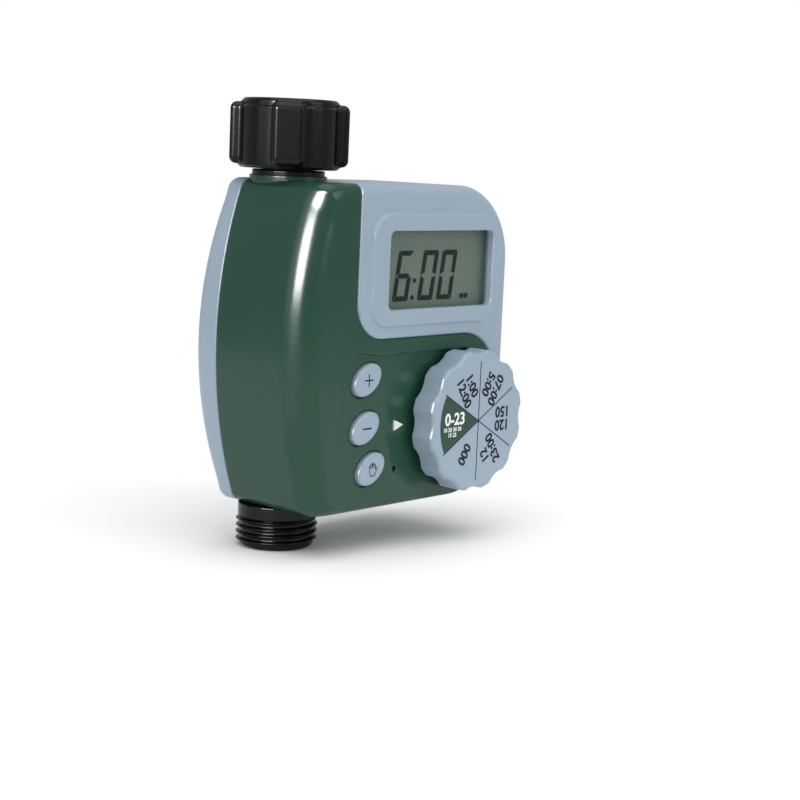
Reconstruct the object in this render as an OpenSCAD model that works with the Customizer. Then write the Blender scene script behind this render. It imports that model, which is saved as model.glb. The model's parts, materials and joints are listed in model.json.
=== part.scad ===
// Single-dial hose-tap watering timer: casing, display, selector dial, diaphragm valve and battery drawer.
// X runs to the right seen from the front, Y to the back and Z up. Heights are measured up from the
// outlet's lower edge, and hang() then moves the whole timer so that the origin is the centre of the
// swivel nut's mouth, where the tap enters.

/* [Overall] */
// Height from the outlet's lower edge to the nut's upper face
overall_h = 145; // [144:0.5:147]
// Distance from the pipe axis to the casing's right side
case_right = 78; // [78:0.5:82]
// Distance from the pipe axis to the casing's front face
case_front = 30; // [30:0.5:33]
// Distance from the pipe axis to the crown of the casing's back
case_back = 20; // [20:0.5:24]
// Distance behind the pipe axis of the parting line between the shells
seam_y = 8; // [8:0.25:9]
// Wall thickness of the casing
wall = 2.2; // [1.8:0.1:2.4]

/* [Casing outline] */
// Height of the casing's lower face
case_bottom = 14.4; // [13.5:0.1:15]
// Height of the casing's upper face
case_top = 119.6; // [119:0.1:120]
// Radius of the bowed left side, seen from the front
bow_r = 145; // [140:1:160]
// Furthest reach of the bowed left side from the pipe axis
bow_reach = 22; // [21:0.5:24]
// Height of the furthest point of the bow
bow_h = 67; // [64:1:70]
// Radius of the rounded front left edge
front_edge_r = 9; // [6:0.5:10]
// Radius of the rounded back left edge
back_edge_r = 6; // [5:0.5:8]
// Corner radius at the upper right, seen from the front
corner_top_r = 25; // [22:1:26]
// Corner radius at the lower right, seen from the front
corner_low_r = 24; // [22:1:26]
// Radius of the bowed back, seen from the side
back_bow_r = 400; // [360:5:480]
// Height of the furthest point of the bowed back
back_bow_h = 66; // [62:1:70]

/* [Display] */
// Left edge of the display opening
window_x = 16.3; // [16:0.1:17]
// Lower edge of the display opening
window_z = 79.4; // [79:0.1:80]
// Width of the display opening
window_w = 52; // [50:0.5:53]
// Height of the display opening
window_h = 25.4; // [24:0.2:26]
// Depth of the window below the bezel's face
window_recess = 1.5; // [1:0.1:1.8]
// How far the bezel's raised frame stands off its face
frame_rise = 0.6; // [0.4:0.1:0.8]

/* [Dial] */
// Distance of the dial's axis to the right of the pipe axis
dial_x = 54.5; // [54:0.1:55]
// Height of the dial's axis
dial_z = 41.6; // [41:0.1:42]
// Outer radius of the dial
dial_r = 24; // [23:0.25:24.5]
// Thickness of the dial
dial_t = 9; // [8:0.5:10]
// Number of finger scallops round the dial
dial_scallops = 12; // [10:1:14]
// Radius of the dial's shaft
shaft_r = 4; // [3.5:0.25:4.5]

/* [Buttons] */
// Long half-width of a button
button_a = 6.7; // [6:0.1:7]
// Short half-width of a button
button_b = 4.6; // [4.2:0.1:4.8]
// Tilt of a button's long axis, in degrees
button_tilt = 32; // [25:1:38]
// Height of a button above the face
button_rise = 1; // [0.6:0.1:1.2]

/* [Hose connections] */
// Outer radius of the nut's ring
nut_r = 16.2; // [16:0.1:17]
// Height of the nut
nut_h = 22.1; // [21:0.1:22.4]
// Radius over the nut's grip lugs
nut_lug_r = 19; // [18:0.25:20]
// Crest radius of the nut's female 3/4 in garden hose thread
female_crest_r = 12.4; // [12.35:0.05:12.5]
// Length of the nut's threaded wall
female_l = 11.8; // [11:0.1:12]
// Crest radius of the outlet's male 3/4 in garden hose thread
male_crest_r = 13.45; // [13.35:0.05:13.5]
// Thread pitch, 11.5 turns to the inch
pitch = 2.209; // [2.2:0.001:2.22]
// Number of full thread ridges on the outlet
ridges = 4; // [3:1:4]

/* [Hidden] */

$fn = 96;
green = [0.20, 0.33, 0.27];
grey = [0.59, 0.66, 0.73];
black = [0.10, 0.11, 0.13];
natural = [0.85, 0.85, 0.80];
rubber = [0.16, 0.16, 0.16];
steel = [0.72, 0.73, 0.75];
gap = 0.3;        // side clearance round a moving piece
slip = 0.08;      // radial clearance of a running fit
far = 400;        // longer than anything in the timer
side_corner_r = 4;  // rounding of the top and bottom front edges

// Bezel outline, measured in the front view
bezel_left = 3;
bezel_low = 70.2;
bezel_corner_r = 12;
bezel_strip = 4.2;
bezel_foot = 38.4;
shoulder_x = 56;
dip_r = 17;

// Button centres, right of the pipe axis and up
button_at = [[8.7, 57.4], [8.6, 41.8], [12, 28.2]];
flange_t = 1.1;

// Case screws, right of the pipe axis and up
shell_screws = [[-15.5, 62], [28, 20.5], [63, 25.5]];
bezel_screws = [[20, 112.4], [66, 108.5]];
screw_at = concat(shell_screws, bezel_screws);
screw_r = 1.5;
screw_pilot_r = 1.35;
screw_head_r = 2.8;
screw_head_t = 2;
screw_l = 16;
boss_r = 3.2;
reset_at = [24.5, 26.9];

// Depths behind the front face of the stack behind it
lens_t = 1.5;
lcd_y = -26.6;
lcd_t = 2.8;
board_y = -20;
board_t = 1.6;

// Battery drawer
cell_r = 7.1;
cell_l = 50.5;
cell_pitch = 16.4;
cell_z = 59;
cell_y = -3.25;
bay_r = 7.3;
tray_x = 24;
tray_hw = 8.65;    // half the tray's depth front to back
tray_hh = 16.7;    // half the tray's height
face_hw = 9.45;
face_hh = 17.7;
guide_t = 1.2;

// Valve
neck_r = 11.7;
neck_top = 122.6;
collar_r = 13;
tube_r = 9.7;
tube_hole_r = tube_r + 0.1;
tail_r = 8.6;
tail_bore_r = 6.9;
tail_bottom = 112;
seal_root_r = 9.2;
outlet_bore_r = 8.2;
flange_r = 12;
flange_z = 127.3;
flange_top = 129.7;
seat_z = 92;
seat_x = 12.2;
flange_x = 13;
chamber_r = 11;
chamber_x = 6.2;
membrane_t = 1.2;
bonnet_r = 15.5;
bonnet_x = flange_x + membrane_t;
cavity_end = 20.5;
guide_x = 22.5;
core_r = 4;
coil_x0 = 24.5;
coil_x1 = 42;
plunger_l = 15.5;
plunger_gap = 0.1;
bonnet_dome_r = 12;
bonnet_screw_pcr = 14;
nut_z = overall_h - nut_h;

// Moves the timer so that the nut's mouth is at the origin
module hang() {
    translate([0, 0, -overall_h]) children();
}

// Turns a front-view outline (x right, y up) into a prism from depth y0 to depth y1
module front_prism(y0, y1) {
    translate([0, y1, 0]) rotate([90, 0, 0]) linear_extrude(y1 - y0) children();
}

// Revolves a profile (radius, depth in front of the pipe axis) about a front-to-back axis
module about_y(x, z) {
    translate([x, 0, z]) rotate([90, 0, 0]) rotate_extrude() children();
}

// Round bar along Y from depth y0 to depth y1
module bar_y(x, z, r, y0, y1) {
    translate([x, y1, z]) rotate([90, 0, 0]) cylinder(r = r, h = y1 - y0);
}

// Round bar along X
module bar_x(x0, x1, r, y = 0, z = seat_z) {
    translate([x0, y, z]) rotate([0, 90, 0]) cylinder(r = r, h = x1 - x0);
}

// Round bar along Z
module bar_z(r, z0, z1) {
    translate([0, 0, z0]) cylinder(r = r, h = z1 - z0);
}

// Box from one corner to the opposite one
module block(a, b) {
    translate(a) cube(b - a);
}

// Rectangle with rounded corners, lower left corner at the origin
module round_rect(w, h, r) {
    translate([r, 0]) square([w - 2 * r, h]);
    translate([0, r]) square([w, h - 2 * r]);
    for (x = [r, w - r])
        for (y = [r, h - r])
            translate([x, y]) circle(r);
}

// Oval with round ends, long half-width a and short half-width b
module oval(a, b) {
    for (s = [-1, 1])
        translate([s * (a - b), 0]) circle(b);
    translate([b - a, -b]) square([2 * (a - b), 2 * b]);
}

// Closed helical spring of round wire standing on z = 0
module coil_spring(r, wire, turns, h) {
    sides = 6;
    steps = 14 * turns;
    rings = [for (i = [0 : steps]) [360 * turns * i / steps, wire + (h - 2 * wire) * i / steps]];
    pts = [for (q = rings)
        for (j = [0 : sides - 1])
            let (a = q[0], b = 360 * j / sides, d = r + wire * cos(b))
            [d * cos(a), d * sin(a), q[1] + wire * sin(b)]];
    skin = [for (i = [0 : steps - 1])
        for (j = [0 : sides - 1])
            let (k = (j + 1) % sides)
            [i * sides + j, i * sides + k, (i + 1) * sides + k, (i + 1) * sides + j]];
    first_end = [for (j = [sides - 1 : -1 : 0]) j];
    last_end = [for (j = [0 : sides - 1]) steps * sides + j];
    polyhedron(points = pts, faces = concat(skin, [first_end, last_end]), convexity = 8);
}

// Points of an arc, from angle a0 to angle a1
function arc(centre, r, a0, a1, steps = 14) =
    [for (i = [0 : steps]) let (a = a0 + (a1 - a0) * i / steps) centre + r * [cos(a), sin(a)]];

// Front-view outline of the casing's straight part, drawn in by inset
module case_outline(inset) {
    right = case_right - inset;
    top = case_top - inset;
    low = case_bottom + inset;
    top_r = corner_top_r - inset;
    low_r = corner_low_r - inset;
    polygon(concat(
        [[-60, top], [-60, low]],
        arc([right - low_r, low + low_r], low_r, -90, 0),
        arc([right - top_r, top - top_r], top_r, 0, 90)));
}

// Outline of the casing seen from the left (x is depth, y is height), drawn in by inset
module side_outline(inset) {
    r = side_corner_r - inset / 2;
    front = -case_front + inset;
    top = case_top - inset;
    low = case_bottom + inset;
    intersection() {
        union() {
            translate([front + r, low]) square([80, top - low]);
            translate([front, low + r]) square([80, top - low - 2 * r]);
            for (z = [low + r, top - r])
                translate([front + r, z]) circle(r);
        }
        translate([case_back - back_bow_r, back_bow_h]) circle(back_bow_r - inset, $fn = 360);
    }
}

// Solid casing drawn in by inset all round: four outlines of it intersected
module casing(inset) {
    r = bow_r - inset;
    front = case_front - inset;
    fr = front_edge_r - inset;
    br = back_edge_r - inset;
    deep = case_back + 5;    // past the bowed back, which trims it
    side_back = case_back + 1 - back_edge_r;
    intersection() {
        front_prism(-60, 40) case_outline(inset);
        rotate([90, 0, 90]) translate([0, 0, -60]) linear_extrude(200) side_outline(inset);
        about_y(bow_r - bow_reach, bow_h) {
            translate([0, -deep]) square([r - br, deep + front]);
            translate([0, -side_back]) square([r, side_back + front - fr]);
            translate([0, -side_back]) square([r - fr, side_back + front]);
            translate([r - fr, front - fr]) circle(fr);
            translate([r - br, -side_back]) circle(br);
        }
    }
}

// Front-view region that the bezel covers: open above and to the right, with a dip beside the dial
module bezel_region(grow = 0) {
    corner = bezel_corner_r + grow;
    left = bezel_left - grow;
    low = bezel_low - grow;
    strip = case_right - bezel_strip - grow;
    dip_z = bezel_low - dip_r;
    foot = bezel_foot - 1;
    x0 = shoulder_x - 2;
    translate([left + corner, low]) square([shoulder_x - left - corner, 80]);
    translate([left, low + corner]) square([shoulder_x - left, 80]);
    translate([left + corner, low + corner]) circle(corner);
    difference() {
        translate([shoulder_x - 1, bezel_foot]) square([60, 110]);
        translate([shoulder_x, dip_z]) circle(dip_r - grow);
        translate([x0, foot]) square([strip - x0, dip_z - foot + 5]);
        translate([x0, foot]) square([2, low - foot]);
    }
}

// Front half of the casing's wall
module front_wall() {
    difference() {
        casing(0);
        casing(wall);
        block([-far, seam_y, -far], [far, far, far]);
    }
}

// Holes where the valve's pipe passes the casing's top and bottom
module pipe_holes() {
    bar_z(tube_hole_r, 100, 130);
    bar_z(tube_hole_r, 0, 40);
}

// Slots from the pipe's axis back to the parting line, through which the pipe is laid in
module pipe_slots() {
    for (z = [case_bottom, case_top - wall])
        block([-tube_hole_r, 0, z - 1], [tube_hole_r, seam_y + 1, z + wall + 1]);
}

// Opening in the casing's side for the battery drawer's face
module drawer_opening() {
    block([case_right - 6, cell_y - face_hw - gap, cell_z - face_hh - gap],
          [case_right + 6, cell_y + face_hw + gap, cell_z + face_hh + gap]);
}

// Screw bosses, from the front wall to the parting line
module front_bosses(spots) {
    for (s = spots)
        bar_y(s[0], s[1], boss_r, -case_front + wall - 0.5, seam_y);
}

module screw_pilots(spots) {
    for (s = spots)
        bar_y(s[0], s[1], screw_pilot_r, seam_y - 12, seam_y + 1);
}

module front_shell() {
    color(green) hang() difference() {
        union() {
            difference() {
                front_wall();
                front_prism(-60, 40) bezel_region();
            }
            front_bosses(shell_screws);
            // ledge behind the edge of the bezel
            intersection() {
                casing(wall - 0.01);
                front_prism(-case_front + wall - 0.01, -case_front + wall + 1.2) difference() {
                    bezel_region(2.5);
                    bezel_region(-2.5);
                }
            }
            // guide of the dial's shaft
            bar_y(dial_x, dial_z, 7, -case_front + 1, -24.6);
        }
        screw_pilots(shell_screws);
        bar_y(dial_x, dial_z, shaft_r + slip, -40, -20);
        bar_y(dial_x, dial_z, 5.7, -26.4, -20);
        bar_y(reset_at[0], reset_at[1], 0.9, -40, -26);
        for (b = button_at)
            front_prism(-40, -26) translate(b) rotate(button_tilt) oval(button_a + gap, button_b + gap);
        pointer_prism(-case_front - 1, -case_front + 0.6);
        pipe_holes();
        pipe_slots();
    }
}

module back_shell() {
    color(grey) hang() difference() {
        union() {
            difference() {
                casing(0);
                casing(wall);
                block([-far, -far, -far], [far, seam_y, far]);
            }
            intersection() {
                for (s = screw_at)
                    bar_y(s[0], s[1], boss_r + 1, seam_y, case_back);
                casing(wall / 2);
            }
            // saddles that fill the front shell's slots behind the pipe
            intersection() {
                pipe_slots();
                union() {
                    block([-20, -1, case_bottom], [20, seam_y + 0.5, case_bottom + wall]);
                    block([-20, -1, case_top - wall], [20, seam_y + 0.5, case_top]);
                }
            }
        }
        for (s = screw_at) {
            bar_y(s[0], s[1], screw_r + 0.15, seam_y - 1, case_back);
            bar_y(s[0], s[1], screw_head_r + 0.2, seam_y + 4, case_back + 5);
        }
        pipe_holes();
    }
}

module display_bezel() {
    frame_x = window_x - 5;
    frame_z = window_z - 5;
    color(grey) hang() difference() {
        union() {
            intersection() {
                front_wall();
                front_prism(-60, 40) bezel_region();
            }
            // raised frame round the window
            front_prism(-case_front - frame_rise, -case_front + 1) translate([frame_x, frame_z])
                round_rect(window_w + 8.4, window_h + 10, 5);
            // pocket that holds the window and the display
            front_prism(-case_front + wall, -26.8) translate([window_x - 3.5, window_z - 3.5])
                round_rect(window_w + 7, window_h + 7, 2);
            front_bosses(bezel_screws);
        }
        front_prism(-40, -20) translate([window_x, window_z]) round_rect(window_w, window_h, 1.5);
        front_prism(-case_front + window_recess, -20) translate([window_x - 1.6, window_z - 1.6])
            round_rect(window_w + 3.2, window_h + 3.2, 1);
        screw_pilots(bezel_screws);
        pipe_holes();
        pipe_slots();
        drawer_opening();
    }
}

module display_window() {
    front = -case_front + window_recess;
    color([0.75, 0.8, 0.78, 0.4]) hang()
        front_prism(front, front + lens_t) translate([window_x - 1.5, window_z - 1.5])
            round_rect(window_w + 3, window_h + 3, 0.9);
}

// Rubber cord inside the wall, across the parting line
module case_gasket() {
    color(rubber) hang() difference() {
        casing(wall);
        casing(wall + 1);
        block([-far, -far, -far], [far, seam_y - 0.1, far]);
        block([-far, seam_y + 1.2, -far], [far, far, far]);
        pipe_holes();
        for (s = screw_at)
            bar_y(s[0], s[1], boss_r + 1.1, 0, 20);
    }
}

module case_screws() {
    color(steel) hang()
        for (s = screw_at)
            difference() {
                union() {
                    bar_y(s[0], s[1], screw_r, seam_y + 4 - screw_l + 2, seam_y + 4.5);
                    bar_y(s[0], s[1], screw_head_r, seam_y + 4, seam_y + 4 + screw_head_t);
                }
                for (a = [0, 90])
                    translate([s[0], seam_y + 6.5, s[1]]) rotate([0, a, 0])
                        cube([3.2, 2.6, 0.6], center = true);
            }
}

// One button: cap through the face, retaining flange and stem
module button(i) {
    hang() translate([button_at[i][0], 0, button_at[i][1]]) {
        front_prism(-case_front - button_rise, -26.6) rotate(button_tilt) oval(button_a, button_b);
        front_prism(-26.6 - flange_t, -26.6) rotate(button_tilt) oval(button_a + 1.2, button_b + 1.2);
    }
}

module plus_button() {
    color(grey) button(0);
}

module minus_button() {
    color(grey) button(1);
}

module manual_button() {
    color(grey) button(2);
}

// Silicone key mat on the board, one hollow dome under each button
module button_pad() {
    color([0.75, 0.75, 0.72]) hang() difference() {
        union() {
            front_prism(board_y - 1.2, board_y) translate([1, 20]) round_rect(20, 46, 3);
            for (b = button_at)
                bar_y(b[0], b[1], 3.4, -26.55, board_y - 1);
        }
        for (b = button_at)
            bar_y(b[0], b[1], 2.2, -25, board_y + 1);
    }
}

// Triangle pointing at the dial
module pointer_prism(y0, y1) {
    front_prism(y0, y1) polygon([[22.8, 39.3], [22.8, 43.5], [28, 41.4]]);
}

module dial_pointer() {
    color("white") hang() pointer_prism(-case_front - 0.1, -case_front + 0.6);
}

// Dial with finger scallops, closed face and a hollow back
module mode_dial() {
    back = -case_front - 0.4;
    front = back - dial_t;
    scallop_r = 9;
    depth = 1.3;
    color(grey) hang() translate([dial_x, 0, dial_z]) difference() {
        bar_y(0, 0, dial_r, front, back);
        for (i = [0 : dial_scallops - 1])
            rotate([0, 360 * i / dial_scallops, 0])
                bar_y(dial_r + scallop_r - depth, 0, scallop_r, front - 1, back + 1);
        difference() {
            bar_y(0, 0, dial_r - 4, front + 2.4, back + 1);
            bar_y(0, 0, shaft_r + 3, front + 2, back + 2);
        }
        bar_y(0, 0, shaft_r, front + 4, back + 1);
    }
}

module dial_shaft() {
    color(natural) hang() difference() {
        bar_y(dial_x, dial_z, shaft_r, -case_front - dial_t + 3.6, -21.2);
        // groove for the clip
        difference() {
            bar_y(dial_x, dial_z, shaft_r + 1, -24.3, -23.6);
            bar_y(dial_x, dial_z, shaft_r - 0.6, -25, -23);
        }
    }
}

module dial_clip() {
    color(steel) hang() difference() {
        bar_y(dial_x, dial_z, shaft_r + 2.2, -24.3, -23.6);
        bar_y(dial_x, dial_z, shaft_r - 0.6, -25, -23);
        block([dial_x - 1.6, -25, dial_z - 10], [dial_x + 1.6, -23, dial_z]);
    }
}

module dial_seal() {
    color(rubber) hang() difference() {
        bar_y(dial_x, dial_z, 5.65, -26.3, -24.9);
        bar_y(dial_x, dial_z, shaft_r + slip, -27, -24);
    }
}

// Rotor with three contact fingers that sweep the board
module selector_wiper() {
    color(natural) hang() translate([dial_x, 0, dial_z]) {
        difference() {
            bar_y(0, 0, 9, -22.8, -21.4);
            bar_y(0, 0, shaft_r, -23, -21);
        }
        for (a = [0, 120, 240])
            rotate([0, a, 0])
                bar_y(7, 0, 0.9, -21.5, board_y - 0.15);
    }
}

module lcd_panel() {
    color([0.42, 0.48, 0.42]) hang()
        block([window_x - 1.4, lcd_y, window_z - 1.4],
              [window_x + window_w + 1.4, lcd_y + lcd_t, window_z + window_h + 1.4]);
}

// Tray behind the display that carries it on the board
module lcd_holder() {
    x0 = window_x - 3.2;
    x1 = window_x + window_w + 3.2;
    z0 = window_z - 3.2;
    z1 = window_z + window_h + 3.2;
    color(natural) hang() difference() {
        block([x0, lcd_y, z0], [x1, board_y, z1]);
        block([x0 + 1.7, lcd_y - 1, z0 + 1.7], [x1 - 1.7, lcd_y + lcd_t + 0.1, z1 - 1.7]);
        block([x0 + 4, lcd_y, z0 + 4], [x1 - 4, board_y + 1, z1 - 4]);
        for (s = bezel_screws)
            bar_y(s[0], s[1], boss_r + gap, -case_front, 0);
    }
}

module circuit_board() {
    color([0.10, 0.30, 0.16]) hang() difference() {
        front_prism(board_y, board_y + board_t) difference() {
            intersection() {
                translate([-8, 19]) round_rect(81, 91, 9);
                case_outline(wall + 0.8);
            }
            for (s = screw_at)
                translate(s) circle(boss_r + gap);
        }
        bar_y(dial_x, dial_z, 2, -30, 0);
    }
}

module microcontroller() {
    color(black) hang() {
        block([28, board_y + board_t, 60], [38, board_y + board_t + 1.4, 70]);
        for (x = [28.6 : 1.2 : 37])
            for (z = [59, 70])
                block([x, board_y + board_t, z], [x + 0.4, board_y + board_t + 0.4, z + 1]);
    }
}

// Small push switch behind the pin hole
module reset_switch() {
    color(steel) hang() {
        block([reset_at[0] - 2, board_y - 2, reset_at[1] - 2], [reset_at[0] + 2, board_y, reset_at[1] + 2]);
        bar_y(reset_at[0], reset_at[1], 0.8, -26.8, board_y - 2);
    }
}

// Fixed sleeve that the battery drawer runs in
module tray_guide() {
    hw = tray_hw + gap;
    hh = tray_hh + gap;
    color(natural) hang() difference() {
        block([tray_x - 3.2, cell_y - hw - guide_t, cell_z - hh - guide_t],
              [case_right - wall - 0.5, cell_y + hw + guide_t - 0.2, cell_z + hh + guide_t]);
        block([tray_x - 2, cell_y - hw, cell_z - hh], [case_right, cell_y + hw, cell_z + hh]);
    }
}

// Drawer with two open cell bays and a face flush with the casing's side
module battery_tray() {
    face_x = case_right - wall;
    color(grey) hang() difference() {
        union() {
            block([tray_x, cell_y - tray_hw, cell_z - tray_hh],
                  [face_x, cell_y + tray_hw, cell_z + tray_hh]);
            block([face_x, cell_y - face_hw, cell_z - face_hh],
                  [case_right, cell_y + face_hw, cell_z + face_hh]);
        }
        for (s = [-1, 1]) {
            bar_x(tray_x - 1, tray_x + cell_l + 1, bay_r, cell_y, cell_z + s * cell_pitch / 2);
            block([tray_x - 1, cell_y - tray_hw - 1, cell_z + s * cell_pitch / 2 - bay_r],
                  [tray_x + cell_l + 1, cell_y, cell_z + s * cell_pitch / 2 + bay_r]);
        }
        // groove for the seal
        difference() {
            block([face_x - 2.2, -far, 0], [face_x - 0.8, far, overall_h]);
            block([face_x - 3, cell_y - tray_hw + 0.6, cell_z - tray_hh + 0.6],
                  [face_x, cell_y + tray_hw - 0.6, cell_z + tray_hh - 0.6]);
        }
        bridge_plate(0.02);
        // finger scoop
        bar_x(case_right - 0.9, case_right + 1, 6, cell_y, cell_z);
    }
}

module tray_seal() {
    x0 = case_right - wall - 2.2;
    color(rubber) hang() difference() {
        block([x0, cell_y - tray_hw - 0.15, cell_z - tray_hh - 0.15],
              [x0 + 1.4, cell_y + tray_hw + 0.15, cell_z + tray_hh + 0.15]);
        block([x0 - 1, cell_y - tray_hw + 0.6, cell_z - tray_hh + 0.6],
              [x0 + 3, cell_y + tray_hw - 0.6, cell_z + tray_hh - 0.6]);
    }
}

// Two AA cells with their button ends opposed
module battery_cells() {
    color([0.75, 0.60, 0.30]) hang()
        for (s = [-1, 1])
            translate([0, cell_y, cell_z + s * cell_pitch / 2]) {
                bar_x(tray_x + 0.5 + (s < 0 ? 1 : 0), tray_x + cell_l - 0.5 - (s > 0 ? 1 : 0), cell_r, 0, 0);
                bar_x(s < 0 ? tray_x + 0.5 : tray_x + cell_l - 2,
                      s < 0 ? tray_x + 2 : tray_x + cell_l - 0.5, 2.7, 0, 0);
            }
}

// Contact springs on the sleeve's inner end
module battery_springs() {
    color(steel) hang()
        for (s = [-1, 1])
            translate([tray_x - 2, cell_y, cell_z + s * cell_pitch / 2]) rotate([0, 90, 0])
                coil_spring(3.2, 0.35, 2, 2.4);
}

// Plate that joins the two cells at the drawer's outer end
module bridge_plate(grow = 0) {
    x0 = tray_x + cell_l - 0.4;
    hw = 4 + grow;
    hh = cell_pitch / 2 + 5 + grow;
    block([x0 - grow, cell_y - hw, cell_z - hh], [x0 + 0.5 + grow, cell_y + hw, cell_z + hh]);
}

module tray_bridge() {
    color(steel) hang() bridge_plate();
}

module swivel_nut() {
    lug_half = 5;
    lug_end_r = 3;
    collar_z = nut_z + 4;
    chamber_top = overall_h - female_l;
    color(black) hang() difference() {
        union() {
            bar_z(nut_r, nut_z, overall_h);
            for (a = [0, 90, 180, 270])
                rotate(a - 46)
                    translate([0, -nut_lug_r, nut_z + 1]) rotate([-90, 0, 0])
                        translate([-lug_half, -nut_h + 2.4, 0]) linear_extrude(nut_lug_r - 13.5)
                            round_rect(2 * lug_half, nut_h - 2.4, lug_end_r);
        }
        bar_z(tail_r + slip, nut_z - 1, collar_z + 1);
        bar_z(13, collar_z, chamber_top);
        bar_z(female_crest_r, collar_z, overall_h + 1);
    }
}

module inlet_washer() {
    color(rubber) hang() difference() {
        bar_z(12.2, flange_top + 0.6, flange_top + 3.2);
        bar_z(7.2, flange_top, flange_top + 4);
    }
}

// Strainer basket hung by its rim under the washer
module filter_screen() {
    color(steel) hang() difference() {
        union() {
            bar_z(11.8, flange_top, flange_top + 0.6);
            bar_z(6.6, flange_top - 9, flange_top + 0.6);
        }
        bar_z(6.1, flange_top - 8.5, flange_top + 1);
        for (i = [0 : 7])
            for (z = [1.6, 4.4])
                translate([0, 0, flange_top - 8.6 + z]) rotate(i * 45 + 22.5)
                    block([5.6, -1.7, 0], [8, 1.7, 2]);
        for (i = [0 : 5])
            rotate(i * 60) translate([3.8, 0, flange_top - 10]) cylinder(r = 1.2, h = 3);
        bar_z(1.4, flange_top - 10, flange_top - 7);
    }
}

module inlet_tailpiece() {
    color(black) hang() difference() {
        union() {
            bar_z(tail_r, tail_bottom, flange_z + 1);
            bar_z(flange_r, flange_z, flange_top);
        }
        bar_z(tail_bore_r, tail_bottom - 1, flange_top + 1);
    }
}

// Ridges of the outlet's thread, with flat crests
module thread_ridges() {
    root_r = 12.2;
    rotate_extrude() {
        square([root_r, 10]);
        for (i = [0 : ridges - 1])
            translate([0, 1 + i * pitch])
                polygon([[0, 0], [root_r, 0], [male_crest_r, 0.55],
                         [male_crest_r, 1.25], [root_r, 1.8], [0, 1.8]]);
    }
}

module valve_body() {
    color(black) hang() difference() {
        union() {
            thread_ridges();
            bar_z(collar_r, 9.6, case_bottom - 0.2);
            bar_z(tube_r, 9.6, neck_top);
            bar_z(neck_r, case_top + 0.2, neck_top);
            bar_x(0, flange_x, bonnet_r);
        }
        // outlet passage and its throat up to the seat
        bar_z(outlet_bore_r, -1, 74);
        bar_z(4.5, 70, seat_z);
        // inlet passage and the tailpiece's socket
        bar_z(tail_bore_r, 98, tail_bottom + 1);
        bar_z(tail_r, tail_bottom, neck_top + 1);
        pipe_seal_rings(seal_root_r, tube_r + 1);
        // ring chamber round the seat
        difference() {
            bar_x(chamber_x, flange_x + 1, chamber_r);
            bar_x(chamber_x - 1, seat_x, 6);
        }
        bar_x(0, flange_x + 1, 4.5);
        for (a = [45 : 90 : 315])
            translate([0, 0, seat_z]) rotate([a, 0, 0])
                bar_x(5, flange_x + 1, 0.8, bonnet_screw_pcr, 0);
    }
}

// Rings inside the casing's top and bottom walls
module pipe_seal_rings(inner, outer) {
    for (z = [case_bottom + 0.5, case_top - 1.7])
        difference() {
            bar_z(outer, z, z + 1.2);
            bar_z(inner, z - 1, z + 2);
        }
}

// Rubber rings where the pipe passes the casing
module pipe_seals() {
    color(rubber) hang() pipe_seal_rings(seal_root_r, tube_hole_r);
}

module valve_diaphragm() {
    color(rubber) hang() difference() {
        bar_x(flange_x, bonnet_x, bonnet_r - 0.3);
        bar_x(flange_x - 1, bonnet_x + 1, 1.65);
        for (a = [45 : 90 : 315])
            translate([0, 0, seat_z]) rotate([a, 0, 0])
                bar_x(flange_x - 1, bonnet_x + 1, 1.1, bonnet_screw_pcr, 0);
    }
}

// Stiff centre of the diaphragm, which closes the seat
module valve_poppet() {
    color(natural) hang() {
        bar_x(seat_x + 0.05, flange_x, 7.5);
        bar_x(seat_x + 0.05, bonnet_x + 1, 1.6);
        bar_x(bonnet_x, bonnet_x + 1.8, 8);
    }
}

module diaphragm_spring() {
    color(steel) hang() translate([bonnet_x + 1.8, 0, seat_z]) rotate([0, 90, 0])
        coil_spring(5, 0.4, 3, cavity_end - bonnet_x - 1.8);
}

// Cover of the diaphragm with the solenoid's core tube
module valve_bonnet() {
    color(black) hang() difference() {
        union() {
            bar_x(bonnet_x, bonnet_x + 2.8, bonnet_r);
            bar_x(bonnet_x, guide_x, bonnet_dome_r);
            bar_x(guide_x - 1, coil_x1 + 3, core_r + 1.4);
        }
        bar_x(bonnet_x - 1, cavity_end, chamber_r);
        bar_x(cavity_end - 1, guide_x + 1, 0.8);
        bar_x(guide_x, coil_x1 + 1, core_r + slip);
        for (a = [45 : 90 : 315])
            translate([0, 0, seat_z]) rotate([a, 0, 0])
                bar_x(bonnet_x - 1, bonnet_x + 4, 1.1, bonnet_screw_pcr, 0);
    }
}

module bonnet_screws() {
    color(steel) hang() translate([0, 0, seat_z])
        for (a = [45 : 90 : 315])
            rotate([a, 0, 0]) {
                bar_x(6, bonnet_x + 3, 1, bonnet_screw_pcr, 0);
                bar_x(bonnet_x + 2.8, bonnet_x + 4.4, 1.8, bonnet_screw_pcr, 0);
            }
}

module solenoid_coil() {
    color([0.55, 0.25, 0.12]) hang() difference() {
        union() {
            bar_x(coil_x0, coil_x1, 8.6);
            bar_x(coil_x0, coil_x0 + 1, 9.6);
            bar_x(coil_x1 - 1, coil_x1, 9.6);
        }
        bar_x(coil_x0 - 1, coil_x1 + 1, core_r + 1.4);
    }
}

// Steel strap round the coil
module solenoid_yoke() {
    color(steel) hang() difference() {
        block([coil_x0 - 1.2, -7, seat_z - 11], [coil_x1 + 1.2, 7, seat_z + 11]);
        block([coil_x0, -8, seat_z - 9.8], [coil_x1, 8, seat_z + 9.8]);
        bar_x(coil_x0 - 3, coil_x1 + 3, core_r + 1.4);
    }
}

module solenoid_plunger() {
    color(steel) hang() bar_x(guide_x + plunger_gap, guide_x + plunger_gap + plunger_l, core_r);
}

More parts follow.
